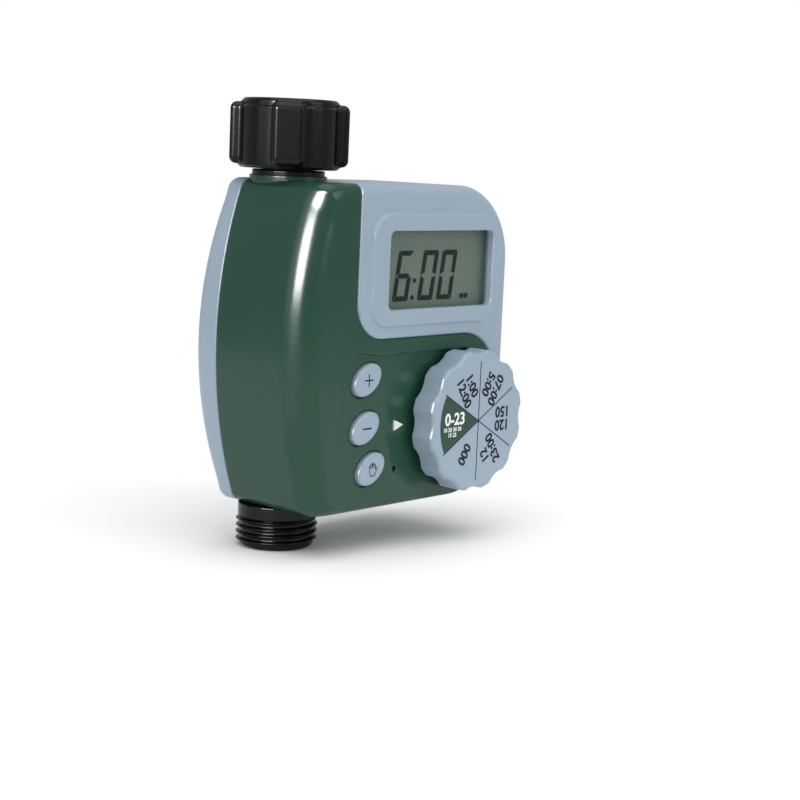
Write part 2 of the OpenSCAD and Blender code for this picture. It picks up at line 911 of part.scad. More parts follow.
module plunger_spring() {
    start = guide_x + plunger_gap + plunger_l;
    color(steel) hang() translate([start, 0, seat_z]) rotate([0, 90, 0])
        coil_spring(2.6, 0.3, 4, coil_x1 + 1 - start);
}

// Two leads from the coil to the board
module coil_leads() {
    y0 = -9.4;
    color([0.7, 0.15, 0.1]) hang()
        for (x = [30, 36])
            bar_y(x, seat_z, 0.7, board_y + board_t, y0);
}

front_shell();
back_shell();
display_bezel();
display_window();
case_gasket();
case_screws();
plus_button();
minus_button();
manual_button();
button_pad();
dial_pointer();
mode_dial();
dial_shaft();
dial_clip();
dial_seal();
selector_wiper();
lcd_panel();
lcd_holder();
circuit_board();
microcontroller();
reset_switch();
tray_guide();
battery_tray();
tray_seal();
battery_cells();
battery_springs();
tray_bridge();
swivel_nut();
inlet_washer();
filter_screen();
inlet_tailpiece();
valve_body();
pipe_seals();
valve_diaphragm();
valve_poppet();
diaphragm_spring();
valve_bonnet();
bonnet_screws();
solenoid_coil();
solenoid_yoke();
solenoid_plunger();
plunger_spring();
coil_leads();
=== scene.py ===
"""Looks of the hose-tap watering timer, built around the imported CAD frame.

Shapes are written in millimetres: x to the right, y to the back, z up from the outlet's lower edge.
skin() samples a distance function, draws its surface and moves it into the frame, in metres.
"""

import json
import math

import bpy
import numpy as np
from mathutils import Matrix, Vector


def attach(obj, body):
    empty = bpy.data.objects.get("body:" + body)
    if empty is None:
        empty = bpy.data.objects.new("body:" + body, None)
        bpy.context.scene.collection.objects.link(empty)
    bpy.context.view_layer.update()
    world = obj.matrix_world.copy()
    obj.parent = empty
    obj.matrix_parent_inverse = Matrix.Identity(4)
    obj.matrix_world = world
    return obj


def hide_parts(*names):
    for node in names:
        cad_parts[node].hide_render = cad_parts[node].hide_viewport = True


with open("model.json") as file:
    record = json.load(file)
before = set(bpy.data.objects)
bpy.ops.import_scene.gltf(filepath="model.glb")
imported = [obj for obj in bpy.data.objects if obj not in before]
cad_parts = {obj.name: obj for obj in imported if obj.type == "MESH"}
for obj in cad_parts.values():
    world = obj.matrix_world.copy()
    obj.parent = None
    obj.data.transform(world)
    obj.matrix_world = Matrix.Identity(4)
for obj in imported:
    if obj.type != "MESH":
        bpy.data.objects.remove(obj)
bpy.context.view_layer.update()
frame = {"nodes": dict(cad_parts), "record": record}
NODES = frame["nodes"]
RISE = 145.0  # the outlet's lower edge lies this far below the frame's origin, in mm
COARSE = 1.0


# ---------------------------------------------------------------- camera, floor and lights

SCENE = bpy.context.scene
SCENE.view_settings.view_transform = "Standard"


def look_from(obj, place, aim, roll=0.0):
    """Puts obj at place, in metres, with its -Z axis at aim."""
    turn = (Vector(aim) - Vector(place)).to_track_quat("-Z", "Y").to_matrix().to_4x4()
    obj.matrix_world = Matrix.Translation(place) @ turn @ Matrix.Rotation(roll, 4, "Z")


camera = bpy.data.objects.new("camera", bpy.data.cameras.new("camera"))
camera.data.lens = 79.2
camera.data.sensor_width = 36
camera.data.clip_end = 20
SCENE.collection.objects.link(camera)
look_from(camera, (-0.4009, -0.4066, -0.0138), (0.0351, -0.0210, -0.0972), math.radians(2.53))
SCENE.camera = camera


def light(name, place, aim, size, watts):
    """Rectangular lamp of the given size at place, in metres, facing aim."""
    lamp = bpy.data.lights.new(name, "AREA")
    lamp.shape = "RECTANGLE"
    lamp.size, lamp.size_y = size
    lamp.energy = watts
    obj = bpy.data.objects.new(name, lamp)
    SCENE.collection.objects.link(obj)
    look_from(obj, place, aim)
    return obj


streak = light("key_strip", (-0.90, -0.28, 0.24), (0, 0, -0.06), (0.55, 0.34), 34.0)
streak.visible_diffuse = False  # it shows only as the bright streak down the rounded left edge
light("left_soft", (-1.1, 0.25, 0.35), (0, 0, -0.07), (0.8, 0.8), 2.6)
light("front_soft", (0.45, -1.2, 0.4), (0.03, 0, -0.08), (0.7, 0.7), 4.0)
ceiling = bpy.data.objects.new("ceiling", bpy.data.lights.new("ceiling", "SUN"))
ceiling.data.energy = 1.8
ceiling.data.angle = math.radians(70)
SCENE.collection.objects.link(ceiling)
look_from(ceiling, (-0.1, -0.2, 1.0), (0, 0, 0))

world = bpy.data.worlds.new("studio")
world.use_nodes = True
SCENE.world = world
room = world.node_tree.nodes["Background"]
room.inputs["Color"].default_value = (1, 1, 1, 1)
room.inputs["Strength"].default_value = 0.46
paper = world.node_tree.nodes.new("ShaderNodeBackground")
paper.inputs["Color"].default_value = (1, 1, 1, 1)
seen = world.node_tree.nodes.new("ShaderNodeLightPath")
either = world.node_tree.nodes.new("ShaderNodeMixShader")
world.node_tree.links.new(seen.outputs["Is Camera Ray"], either.inputs["Fac"])
world.node_tree.links.new(room.outputs["Background"], either.inputs[1])
world.node_tree.links.new(paper.outputs["Background"], either.inputs[2])
world.node_tree.links.new(either.outputs["Shader"], world.node_tree.nodes["World Output"].inputs["Surface"])


# ---------------------------------------------------------------- materials

def srgb(r, g, b):
    """Linear colour of an 8-bit display colour."""
    return tuple(((c / 255 + 0.055) / 1.055) ** 2.4 if c > 10 else c / 255 / 12.92 for c in (r, g, b)) + (1,)


def surface(name, colour, rough, metal=0.0, grain=1400, depth=0.00001, blotch=45, vary=0.08,
            rough_vary=0.06, stretch=(1, 1, 1), specular=0.5, sheen=0.0):
    """Principled material with a fine grain in its relief and slow changes of colour and roughness."""
    mat = bpy.data.materials.new(name)
    mat.use_nodes = True
    tree = mat.node_tree
    shader = tree.nodes["Principled BSDF"]
    shader.inputs["Metallic"].default_value = metal
    shader.inputs["Specular IOR Level"].default_value = specular
    shader.inputs["Sheen Weight"].default_value = sheen
    place = tree.nodes.new("ShaderNodeTexCoord")
    mapping = tree.nodes.new("ShaderNodeMapping")
    mapping.inputs["Scale"].default_value = stretch
    tree.links.new(place.outputs["Object"], mapping.inputs["Vector"])

    def noise(scale, detail):
        node = tree.nodes.new("ShaderNodeTexNoise")
        node.inputs["Scale"].default_value = scale
        node.inputs["Detail"].default_value = detail
        tree.links.new(mapping.outputs["Vector"], node.inputs["Vector"])
        return node.outputs["Fac"]

    slow, fine = noise(blotch, 3), noise(grain, 2)
    ramp = tree.nodes.new("ShaderNodeMix")
    ramp.data_type = "RGBA"
    tree.links.new(slow, ramp.inputs["Factor"])
    ramp.inputs["A"].default_value = tuple(c * (1 - vary) for c in colour[:3]) + (1,)
    ramp.inputs["B"].default_value = tuple(min(1, c * (1 + vary)) for c in colour[:3]) + (1,)
    tree.links.new(ramp.outputs["Result"], shader.inputs["Base Color"])
    spread = tree.nodes.new("ShaderNodeMapRange")
    spread.inputs["To Min"].default_value = max(0.02, rough - rough_vary)
    spread.inputs["To Max"].default_value = rough + rough_vary
    tree.links.new(slow, spread.inputs["Value"])
    tree.links.new(spread.outputs["Result"], shader.inputs["Roughness"])
    bump = tree.nodes.new("ShaderNodeBump")
    bump.inputs["Strength"].default_value = 1.0
    bump.inputs["Distance"].default_value = depth
    tree.links.new(fine, bump.inputs["Height"])
    tree.links.new(bump.outputs["Normal"], shader.inputs["Normal"])
    return mat


def clear_sheet(name):
    """Clear sheet: see-through, with a gloss that grows towards grazing views."""
    mat = bpy.data.materials.new(name)
    mat.use_nodes = True
    tree = mat.node_tree
    tree.nodes.remove(tree.nodes["Principled BSDF"])
    through = tree.nodes.new("ShaderNodeBsdfTransparent")
    through.inputs["Color"].default_value = (0.97, 0.985, 0.97, 1)
    gloss = tree.nodes.new("ShaderNodeBsdfGlossy")
    gloss.inputs["Roughness"].default_value = 0.03
    edge = tree.nodes.new("ShaderNodeLayerWeight")
    edge.inputs["Blend"].default_value = 0.5
    steep = tree.nodes.new("ShaderNodeMath")
    steep.operation = "POWER"
    steep.inputs[1].default_value = 5
    tree.links.new(edge.outputs["Facing"], steep.inputs[0])
    share = tree.nodes.new("ShaderNodeMapRange")
    share.inputs["To Min"].default_value = 0.02
    tree.links.new(steep.outputs["Value"], share.inputs["Value"])
    mix = tree.nodes.new("ShaderNodeMixShader")
    tree.links.new(share.outputs["Result"], mix.inputs["Fac"])
    tree.links.new(through.outputs["BSDF"], mix.inputs[1])
    tree.links.new(gloss.outputs["BSDF"], mix.inputs[2])
    tree.links.new(mix.outputs["Shader"], tree.nodes["Material Output"].inputs["Surface"])
    return mat


MATS = {
    "green_plastic": surface("green_plastic", srgb(33, 70, 55), 0.22, specular=0.32, grain=1500, depth=0.000012),
    "grey_plastic": surface("grey_plastic", srgb(147, 165, 181), 0.34, grain=1500, depth=0.000012, vary=0.04),
    "black_plastic": surface("black_plastic", srgb(6, 9, 15), 0.19, specular=0.22, grain=900, depth=0.00001, vary=0.15),
    "natural_plastic": surface("natural_plastic", srgb(214, 212, 200), 0.45),
    "white_plastic": surface("white_plastic", srgb(225, 228, 228), 0.45, vary=0.03),
    "clear_window": clear_sheet("clear_window"),
    "lcd_glass": surface("lcd_glass", srgb(99, 114, 106), 0.35, grain=4000, depth=0.000004, vary=0.05),
    "black_rubber": surface("black_rubber", srgb(34, 34, 35), 0.7, grain=2200, depth=0.00003, sheen=0.1),
    "silicone": surface("silicone", srgb(190, 188, 180), 0.55),
    "zinc_steel": surface("zinc_steel", srgb(190, 192, 196), 0.32, metal=1, grain=2600, depth=0.00001,
                          stretch=(1, 6, 1)),
    "stainless": surface("stainless", srgb(196, 198, 200), 0.26, metal=1, grain=2600, depth=0.000008,
                         stretch=(6, 6, 1)),
    "board_laminate": surface("board_laminate", srgb(24, 84, 48), 0.4, grain=1600, depth=0.00002, vary=0.12),
    "chip_epoxy": surface("chip_epoxy", srgb(30, 30, 32), 0.6, grain=2400, depth=0.00002),
    "cell_jacket": surface("cell_jacket", srgb(178, 130, 52), 0.3, vary=0.1),
    "coil_tape": surface("coil_tape", srgb(150, 84, 38), 0.5, grain=1800, depth=0.00004, stretch=(4, 1, 1)),
    "lead_insulation": surface("lead_insulation", srgb(170, 38, 30), 0.45),
}
DIGIT_INK = surface("digit_ink", srgb(6, 9, 10), 0.6, vary=0.1, specular=0.1)
DARK_INK = surface("dark_ink", srgb(20, 27, 42), 0.6, vary=0.1, specular=0.2)
GREEN_INK = surface("green_ink", srgb(38, 70, 56), 0.45, vary=0.08, specular=0.3)
WHITE_INK = surface("white_ink", srgb(236, 238, 238), 0.5, vary=0.03)
FLOOR = surface("floor_paper", srgb(250, 250, 250), 0.85, grain=600, depth=0.00001, vary=0.005, specular=0.1)

for part in frame["record"]["subparts"]:
    for held in NODES[part["node"]].material_slots:
        held.material = MATS[part["material_slot"]]


# ---------------------------------------------------------------- distance functions

def smooth(t):
    t = np.clip(t, 0, 1)
    return t * t * (3 - 2 * t)


def cap(a, b, r=0.0):
    """Where both a and b are negative, with the edge between them rounded to radius r."""
    return np.minimum(-r, np.maximum(a, b)) + np.hypot(np.maximum(r + a, 0), np.maximum(r + b, 0))


def join(a, b, r=0.0):
    """Where either is negative, with a fillet of radius r."""
    return -cap(-a, -b, r)


def cut(a, b, r=0.0):
    """a without b."""
    return cap(a, -b, r)


def between(v, lo, hi):
    return np.maximum(lo - v, v - hi)


def rod(a, b, along, r, lo, hi, edge=0.2):
    """Round bar: a and b measure across it from its axis."""
    return cap(np.hypot(a, b) - r, between(along, lo, hi), edge)


def brick(x, y, z, lo, hi, edge=0.2):
    return cap(cap(between(x, lo[0], hi[0]), between(y, lo[1], hi[1]), edge), between(z, lo[2], hi[2]), edge)


def ellipse(u, v, a, b):
    k = np.hypot(u / a, v / b)
    return (k - 1) * k / np.maximum(np.hypot(u / a ** 2, v / b ** 2), 1e-6)


# ---------------------------------------------------------------- surfaces from distance functions

def gradient(f, co, eps=0.04):
    cols = []
    for axis in range(3):
        step = np.zeros(3)
        step[axis] = eps
        cols.append((f(*(co + step).T) - f(*(co - step).T)) / (2 * eps))
    return np.stack(cols, 1)


def nets(f, lo, hi, step):
    """Quads along f = 0: one point in each cell that the surface crosses, moved onto the surface."""
    axes = [np.arange(a - step, b + 2 * step, step) for a, b in zip(lo, hi)]
    slabs = np.array_split(axes[0], max(1, len(axes[0]) // 12))
    value = np.concatenate([f(*np.meshgrid(s, axes[1], axes[2], indexing="ij")) for s in slabs])
    inside = value < 0
    count = np.zeros([n - 1 for n in inside.shape], np.int8)
    for i in (0, 1):
        for j in (0, 1):
            for k in (0, 1):
                count += inside[i:i + count.shape[0], j:j + count.shape[1], k:k + count.shape[2]]
    cells = (count > 0) & (count < 8)
    number = np.full(cells.shape, -1, np.int64)
    number[cells] = np.arange(cells.sum())
    at = np.argwhere(cells)
    total, hits = np.zeros(at.shape), np.zeros(len(at))
    quads = []
    for a in range(3):
        b, c = (a + 1) % 3, (a + 2) % 3
        for db in (0, 1):
            for dc in (0, 1):
                p = at.copy()
                p[:, b] += db
                p[:, c] += dc
                q = p.copy()
                q[:, a] += 1
                vp, vq = value[tuple(p.T)], value[tuple(q.T)]
                m = (vp < 0) != (vq < 0)
                here = p[m].astype(float)
                here[:, a] += vp[m] / (vp[m] - vq[m])
                total[m] += here
                hits[m] += 1
        low = [slice(1, -1)] * 3
        high = [slice(1, -1)] * 3
        low[a], high[a] = slice(0, -1), slice(1, None)
        first, second = inside[tuple(low)], inside[tuple(high)]
        crossed = first != second
        e = np.argwhere(crossed)
        e[:, b] += 1
        e[:, c] += 1
        ring = []
        for ob, oc in ((-1, -1), (0, -1), (0, 0), (-1, 0)):
            p = e.copy()
            p[:, b] += ob
            p[:, c] += oc
            ring.append(number[tuple(p.T)])
        ring = np.stack(ring, 1)
        back = ~first[crossed]
        ring[back] = ring[back][:, ::-1]
        quads.append(ring)
    co = np.array([axis[0] for axis in axes]) + step * total / hits[:, None]
    for _ in range(4):
        g = gradient(f, co)
        move = g * (f(*co.T) / np.maximum((g * g).sum(1), 0.05))[:, None]
        co -= np.clip(move, -0.4 * step, 0.4 * step)
    return co, np.concatenate(quads)


def to_frame(co):
    return (np.asarray(co, float) - (0, 0, RISE)) / 1000


def settle(obj, mat, body, replaced=()):
    """Gives a finished piece its material, slot and body."""
    SCENE.collection.objects.link(obj)
    obj.data.materials.append(mat)
    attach(obj, body)
    if replaced:
        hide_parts(*replaced)
    return obj


def skin(name, f, lo, hi, step, slot, body, replaced=(), mat=None):
    co, quads = nets(f, lo, hi, step * COARSE)
    g = gradient(f, co)
    mesh = bpy.data.meshes.new(name)
    mesh.from_pydata(to_frame(co).tolist(), [], quads.tolist())
    mesh.shade_smooth()
    mesh.normals_split_custom_set_from_vertices((g / np.linalg.norm(g, axis=1)[:, None]).tolist())
    return settle(bpy.data.objects.new(name, mesh), mat or MATS[slot], body, replaced)


# ---------------------------------------------------------------- casing

RIGHT, TOP, BOTTOM, FRONT, SEAM, WALL = 78, 119.6, 14.4, 30, 8, 2.2
CORNER_TOP, CORNER_LOW, CORNER_LEFT = 25, 24, 3  # corner radii of the outline in the front view
BOW_X, BOW_Z, BOW_R = 123, 67, 145  # arc of the left side in the front view
BACK_Y, BACK_Z, BACK_R = -380, 66, 400  # arc of the back in the side view
JOINT_GAP = 0.06  # half the clearance where two shells meet
BEZEL_FRONT = 30.5
FRAME_FRONT = 31.3
SHELL_SCREWS = ((-15.5, 62), (28, 20.5), (63, 25.5))
BEZEL_SCREWS = ((20, 112.4), (66, 108.5))
POST_R, POST_HOLE_R = 3.2, 1.35
DISPLAY_POCKET = ((14.7, -28.5, 77.8), (69.9, -20, 106.4))
BUTTONS = {"plus": (8.7, 57.4), "minus": (8.6, 41.8), "manual": (12, 28.2)}
BUTTON_A, BUTTON_B, BUTTON_TILT = 6.7, 4.6, math.radians(32)
DIAL_X, DIAL_Z, DIAL_R = 54.5, 41.6, 24
DIP_X, DIP_Z, DIP_R = 56, 53.2, 17


def casing(x, y, z, front=FRONT):
    """Outer form of the casing: bowed at the left and at the back, rounded all round."""
    rest = np.maximum(cap(x - RIGHT, z - TOP, CORNER_TOP), cap(x - RIGHT, BOTTOM - z, CORNER_LOW))
    bow = np.hypot(x - BOW_X, z - BOW_Z) - BOW_R
    left = smooth(0.5 + (bow - rest) / 14)
    outline = cap(rest, bow, CORNER_LEFT)
    back = np.hypot(y - BACK_Y, z - BACK_Z) - BACK_R
    return cap(cap(outline, -y - front, 3.6 + 5.4 * left), back, 3 + 3 * left)


def bezel_area(x, z, grow=0.0):
    """Front-view area of the bezel: open above and to the right, with a dip beside the dial."""
    upper = cap(3 - x, 70.2 - z, 12)
    beside = np.where(z > DIP_Z, DIP_R - np.hypot(x - DIP_X, z - DIP_Z), DIP_X + DIP_R - x)
    right = cap(np.maximum(beside, DIP_X - x), 38.4 - z, 1.5)
    return np.minimum(upper, right) - grow


def button_plane(x, z, name):
    dx, dz = x - BUTTONS[name][0], z - BUTTONS[name][1]
    c, s = math.cos(BUTTON_TILT), math.sin(BUTTON_TILT)
    return dx * c + dz * s, dz * c - dx * s


def pipe_holes(x, y, z):
    return np.hypot(x, y) - 9.8


def front_shell(x, y, z):
    c = casing(x, y, z)
    f = np.maximum(c, -c - WALL)
    area = bezel_area(x, z)
    # lowered panel that holds the buttons and the dial, with a dish round the dial
    panel = cap(cap(-2.3 - x, 12 - z, 7), z - 66.4, 8)
    panel = cap(cap(panel, 3.6 - area, 5), x - 76, 3)
    r = np.hypot(x - DIAL_X, z - DIAL_Z)
    dish = 0.8 * smooth((36 - r) / 10)
    f = cut(f, cap(panel, y + FRONT - 0.7 - dish, 0.3), 0.35)
    for name in BUTTONS:
        u, v = button_plane(x, z, name)
        hole = np.maximum(ellipse(u, v, BUTTON_A + 0.4, BUTTON_B + 0.4), y + 25)
        f = cut(f, hole, 0.35)
    f = cut(f, rod(x - 24.5, z - 26.9, y, 0.9, -40, -26, 0.1), 0.3)
    f = cut(f, rod(x - DIAL_X, z - DIAL_Z, y, 4.2, -40, -20, 0.1))
    for sx, sz in SHELL_SCREWS:
        post = np.maximum(rod(x - sx, z - sz, y, POST_R, -28, SEAM), c + 0.5)
        f = cut(join(f, post, 0.4), rod(x - sx, z - sz, y, POST_HOLE_R, -4, 20))
    f = cut(f, pipe_holes(x, y, z), 0.2)
    f = cap(f, JOINT_GAP - area, 0.45)
    return cap(f, y - SEAM + JOINT_GAP, 0.45)


def back_shell(x, y, z):
    c = casing(x, y, z)
    f = np.maximum(c, -c - WALL)
    f = cap(f, SEAM + JOINT_GAP - y, 0.45)
    for sx, sz in SHELL_SCREWS + BEZEL_SCREWS:
        post = np.maximum(rod(x - sx, z - sz, y, 4.4, SEAM, 30), c + 0.5)
        f = join(f, post, 0.4)
        f = cut(f, rod(x - sx, z - sz, y, 3.05, SEAM + 4, 40), 0.45)
        f = cut(f, rod(x - sx, z - sz, y, 1.65, 0, 30))
    return cut(f, pipe_holes(x, y, z), 0.2)


def display_bezel(x, y, z):
    plain = casing(x, y, z)
    c = casing(x, y, z, BEZEL_FRONT)
    area = bezel_area(x, z)
    f = np.maximum(cap(c, area, 0.9), -plain - WALL)
    # raised frame round the window
    inner = bezel_area(x, z, -3.3)
    rim = cap(cap(8.6 - x, 73.5 - z, 7), z - 110.4, 8)
    rim = cap(cap(cap(rim, inner, 2), x - 73, 12), y + 18, 0.1)
    f = join(f, cap(rim, -y - FRAME_FRONT, 0.8), 0.5)
    opening = cap(between(x, 16.3, 68.3), between(z, 79.4, 104.8), 2.2)
    f = cut(f, cap(opening, y + 24, 0.1), 0.7)
    f = cut(f, brick(x, y, z, *DISPLAY_POCKET))
    for sx, sz in BEZEL_SCREWS:
        post = np.maximum(rod(x - sx, z - sz, y, POST_R, -29, SEAM), plain + 0.5)
        post = cut(post, brick(x, y, z, *DISPLAY_POCKET))
        f = cut(join(f, post, 0.3), rod(x - sx, z - sz, y, POST_HOLE_R, -4, 20))
    f = cut(f, pipe_holes(x, y, z), 0.2)
    f = cut(f, brick(x, y, z, (72, -13.05, 40.95), (90, 6.55, 77.05), 1.2), 0.5)
    return cap(f, y - SEAM + JOINT_GAP, 0.45)


skin("front_shell_skin", front_shell, (-23, -31, 13), (79, 9, 121), 0.5, "green_plastic", "housing", ["front_shell"])
skin("back_shell_skin", back_shell, (-23, 7, 13), (79, 21, 121), 0.6, "grey_plastic", "housing", ["back_shell"])
skin("bezel_skin", display_bezel, (2, -32, 37), (79, 9, 121), 0.45, "grey_plastic", "housing", ["display_bezel"])


def collar(x, y, z):
    """Green ring round the neck, on top of the casing."""
    ring = rod(x, y, z, 12.5, 118, 120.9, 0.5)
    return cut(ring, np.hypot(x, y) - 11.75, 0.2)


skin("neck_collar", collar, (-15, -15, 117), (15, 15, 121), 0.35, "green_plastic", "housing")


# ---------------------------------------------------------------- buttons, pointer

def button(name):
    """Distance function of one press button, with its retaining flange."""
    def f(x, y, z):
        u, v = button_plane(x, z, name)
        flat = ellipse(u, v, BUTTON_A, BUTTON_B)
        crown = 0.25 * np.hypot(u / BUTTON_A, v / BUTTON_B) ** 2
        body = cap(flat, between(y, -31 + crown, -26.6), 0.7)
        return join(body, cap(flat - 1.2, between(y, -27.7, -26.6), 0.2))
    return f


for name, (bx, bz) in BUTTONS.items():
    skin(name + "_button_skin", button(name), (bx - 9, -31.5, bz - 8), (bx + 9, -26, bz + 8), 0.3,
         "grey_plastic", name, [name + "_button"])


def flat_piece(name, loops, y_front, thick, mat, body):
    """Prisms with the given outlines in the front view, from y_front towards the back."""
    verts, faces = [], []
    for loop in loops:
        n, base = len(loop), len(verts)
        verts += [(x, y_front, z) for x, z in loop] + [(x, y_front + thick, z) for x, z in loop]
        faces.append([base + i for i in range(n)])
        faces.append([base + n + i for i in reversed(range(n))])
        faces += [[base + (i + 1) % n, base + i, base + n + i, base + n + (i + 1) % n] for i in range(n)]
    mesh = bpy.data.meshes.new(name)
    mesh.from_pydata(to_frame(verts).tolist(), [], faces)
    return settle(bpy.data.objects.new(name, mesh), mat, body)


def bar(x0, z0, x1, z1, w):
    """Straight stroke of width w, as a loop that runs anticlockwise."""
    d = np.array([x1 - x0, z1 - z0], float)
    d /= np.linalg.norm(d)
    n = np.array([-d[1], d[0]]) * w / 2
    p, q = np.array([x0, z0]), np.array([x1, z1])
    return [tuple(p - n), tuple(q - n), tuple(q + n), tuple(p + n)]


def outline_strokes(points, w):
    """Strokes of width w along a closed outline."""
    return [bar(*a, *b, w) for a, b in zip(points, points[1:] + points[:1])]


px, pz = BUTTONS["plus"]
MARK_Y = -31.02
flat_piece("plus_mark", [bar(px - 2, pz, px + 2, pz, 0.45), bar(px, pz - 2, px, pz + 2, 0.45)], MARK_Y, 0.2,
           DARK_INK, "plus")
px, pz = BUTTONS["minus"]
flat_piece("minus_mark", [bar(px - 2, pz, px + 2, pz, 0.5)], MARK_Y, 0.2, DARK_INK, "minus")
px, pz = BUTTONS["manual"]
HAND = [(-1.0, -2.2), (1.0, -2.2), (1.5, -1.0), (2.3, 0.3), (1.8, 0.6), (1.2, -0.1), (1.3, 1.6), (0.8, 1.7),
        (0.6, 0.5), (0.5, 2.2), (0.0, 2.2), (-0.1, 0.5), (-0.4, 2.0), (-0.9, 1.9), (-0.8, 0.4), (-1.3, 1.3),
        (-1.7, 1.1), (-1.4, -0.9)]
flat_piece("manual_mark", outline_strokes([(px + a * 0.95, pz + b * 0.95) for a, b in HAND], 0.26), MARK_Y, 0.25,
           DARK_INK, "manual")


def pointer(x, y, z):
    slope = math.hypot(5.2, 2.1)
    upper = ((z - 41.4) * 5.2 + (x - 27.5) * 2.1) / slope
    lower = ((41.4 - z) * 5.2 + (x - 27.5) * 2.1) / slope
    flat = cap(cap(upper, lower, 0.25), 23.2 - x, 0.25)
    return cap(flat, between(y, -29.75, -28.4), 0.2)


skin("pointer_skin", pointer, (22, -30, 38), (29, -28, 45), 0.16, "white_plastic", "housing", ["dial_pointer"])


# ---------------------------------------------------------------- display

def digit(x0, segments, w=7.3, h=16.4, t=1.6, lean=math.tan(math.radians(9))):
    """Seven-segment figure, with its lower left corner at x0."""
    z0, g, m = 81.7, 0.25, h / 2
    shapes = {
        "a": [(g, h), (w - g, h), (w - g - t, h - t), (g + t, h - t)],
        "d": [(g, 0), (g + t, t), (w - g - t, t), (w - g, 0)],
        "f": [(0, h - g), (t, h - g - t), (t, m + g + t / 2), (0, m + g)],
        "b": [(w, h - g), (w, m + g), (w - t, m + g + t / 2), (w - t, h - g - t)],
        "e": [(0, m - g), (t, m - g - t / 2), (t, g + t), (0, g)],
        "c": [(w, m - g), (w, g), (w - t, g + t), (w - t, m - g - t / 2)],
        "g": [(g + 0.4, m), (t + 0.2, m + t / 2), (w - t - 0.2, m + t / 2), (w - g - 0.4, m), (w - t - 0.2, m - t / 2),
              (t + 0.2, m - t / 2)],
    }
    loops = []
    for s in segments:
        loop = [(x0 + x + z * lean, z0 + z) for x, z in shapes[s]]
        area = sum(a[0] * b[1] - b[0] * a[1] for a, b in zip(loop, loop[1:] + loop[:1]))
        loops.append(loop if area > 0 else loop[::-1])
    return loops


figures = digit(22.6, "afgedc") + digit(34.9, "abcdef") + digit(44.5, "abcdef")
figures += [bar(31.6, 82.7, 32.9, 82.7, 1.3), bar(32.5, 88.3, 33.8, 88.3, 1.3)]
figures += [bar(56.7, 82.6, 58.3, 82.6, 1.6), bar(59.0, 82.6, 60.6, 82.6, 1.6)]
flat_piece("lcd_figures", figures, -26.9, 0.1, DIGIT_INK, "housing")


# ---------------------------------------------------------------- dial

DIAL_BACK, DIAL_FRONT = -30.4, -39.33


def dial(x, y, z):
    x, z = x - DIAL_X, z - DIAL_Z
    r = np.hypot(x, z)
    turn = np.arctan2(z, x)
    step = 2 * math.pi / 12
    near = (turn + step / 2) % step - step / 2
    px, pz = r * np.cos(near), r * np.sin(near)
    rim = cut(r - DIAL_R, np.hypot(px - 31.7, pz) - 9, 0.5)
    f = cap(rim, DIAL_FRONT - y, 1.4)
    f = cap(f, y - DIAL_BACK, 0.5)
    f = cut(f, rod(x, z, y, 20, -37, -20, 0.5), 0.3)
    f = join(f, rod(x, z, y, 7, -38, -32.2, 0.2), 0.3)
    return cut(f, rod(x, z, y, 4, -35.4, -20))


skin("dial_skin", dial, (30, -40, 17), (79, -30, 66), 0.35, "grey_plastic", "dial", ["mode_dial"])


def on_dial(r, degrees):
    a = math.radians(degrees)
    return DIAL_X + r * math.cos(a), DIAL_Z + r * math.sin(a)


PRINT_Y = -39.36
lines = [bar(*on_dial(0.1, a), *on_dial(20.2, a), 0.34) for a in (90, 30, -30, -90, -150, 150)]
flat_piece("dial_lines", lines, PRINT_Y - 0.02, 0.1, DARK_INK, "dial")
sector = [on_dial(0, 0)] + [on_dial(19.6, a) for a in np.linspace(150, 210, 25)]
flat_piece("dial_sector", [sector], PRINT_Y, 0.1, GREEN_INK, "dial")


def figure_print(name, text, r, degrees, size, mat, bold=0.0, shift=0.0, spacing=0.8):
    """Numbers printed on the dial's face at (r, degrees), upright when they are at the pointer."""
    curve = bpy.data.curves.new(name, "FONT")
    curve.body = text
    curve.size = size
    curve.align_x, curve.align_y = "CENTER", "CENTER"
    curve.space_line = spacing
    curve.extrude = 0.015
    curve.offset = bold
    holder = bpy.data.objects.new(name + "_text", curve)
    SCENE.collection.objects.link(holder)
    bpy.context.view_layer.update()
    mesh = bpy.data.meshes.new_from_object(holder.evaluated_get(bpy.context.evaluated_depsgraph_get()))
    bpy.data.objects.remove(holder)
    cx, cz = on_dial(r, degrees)
    turn = math.radians(degrees - 180)
    c, s = math.cos(turn), math.sin(turn)
    co = np.array([v.co for v in mesh.vertices])
    co[:, 1] += shift
    flat = np.stack([cx + co[:, 0] * c - co[:, 1] * s, PRINT_Y - 0.02 - co[:, 2],
                     cz + co[:, 0] * s + co[:, 1] * c], 1)
    mesh.vertices.foreach_set("co", to_frame(flat).ravel())
    mesh.materials.clear()
    mesh.name = name
    return settle(bpy.data.objects.new(name, mesh), mat, "dial")


for label, at, text in (("a", 120, "1:00\n12:00"), ("b", 60, "07:00\n5:00"), ("c", 0, "120\n150"),
                        ("d", -60, "12\n23:00"), ("e", -120, "000")):
    figure_print("dial_number_" + label, text, 12.7, at, 5.0, DARK_INK, 0.15, 0, 0.92)
figure_print("dial_number_f", "0-23", 12.2, 180, 5.6, WHITE_INK, 0.15, 1.4)
figure_print("dial_number_g", "10 20 30 50", 13.4, 180, 1.9, WHITE_INK, 0.05, -1.9)
figure_print("dial_number_h", "15 25", 13.4, 180, 1.9, WHITE_INK, 0.05, -3.7)


# ---------------------------------------------------------------- swivel nut and outlet

PITCH = 2.209  # standard garden hose thread, in mm


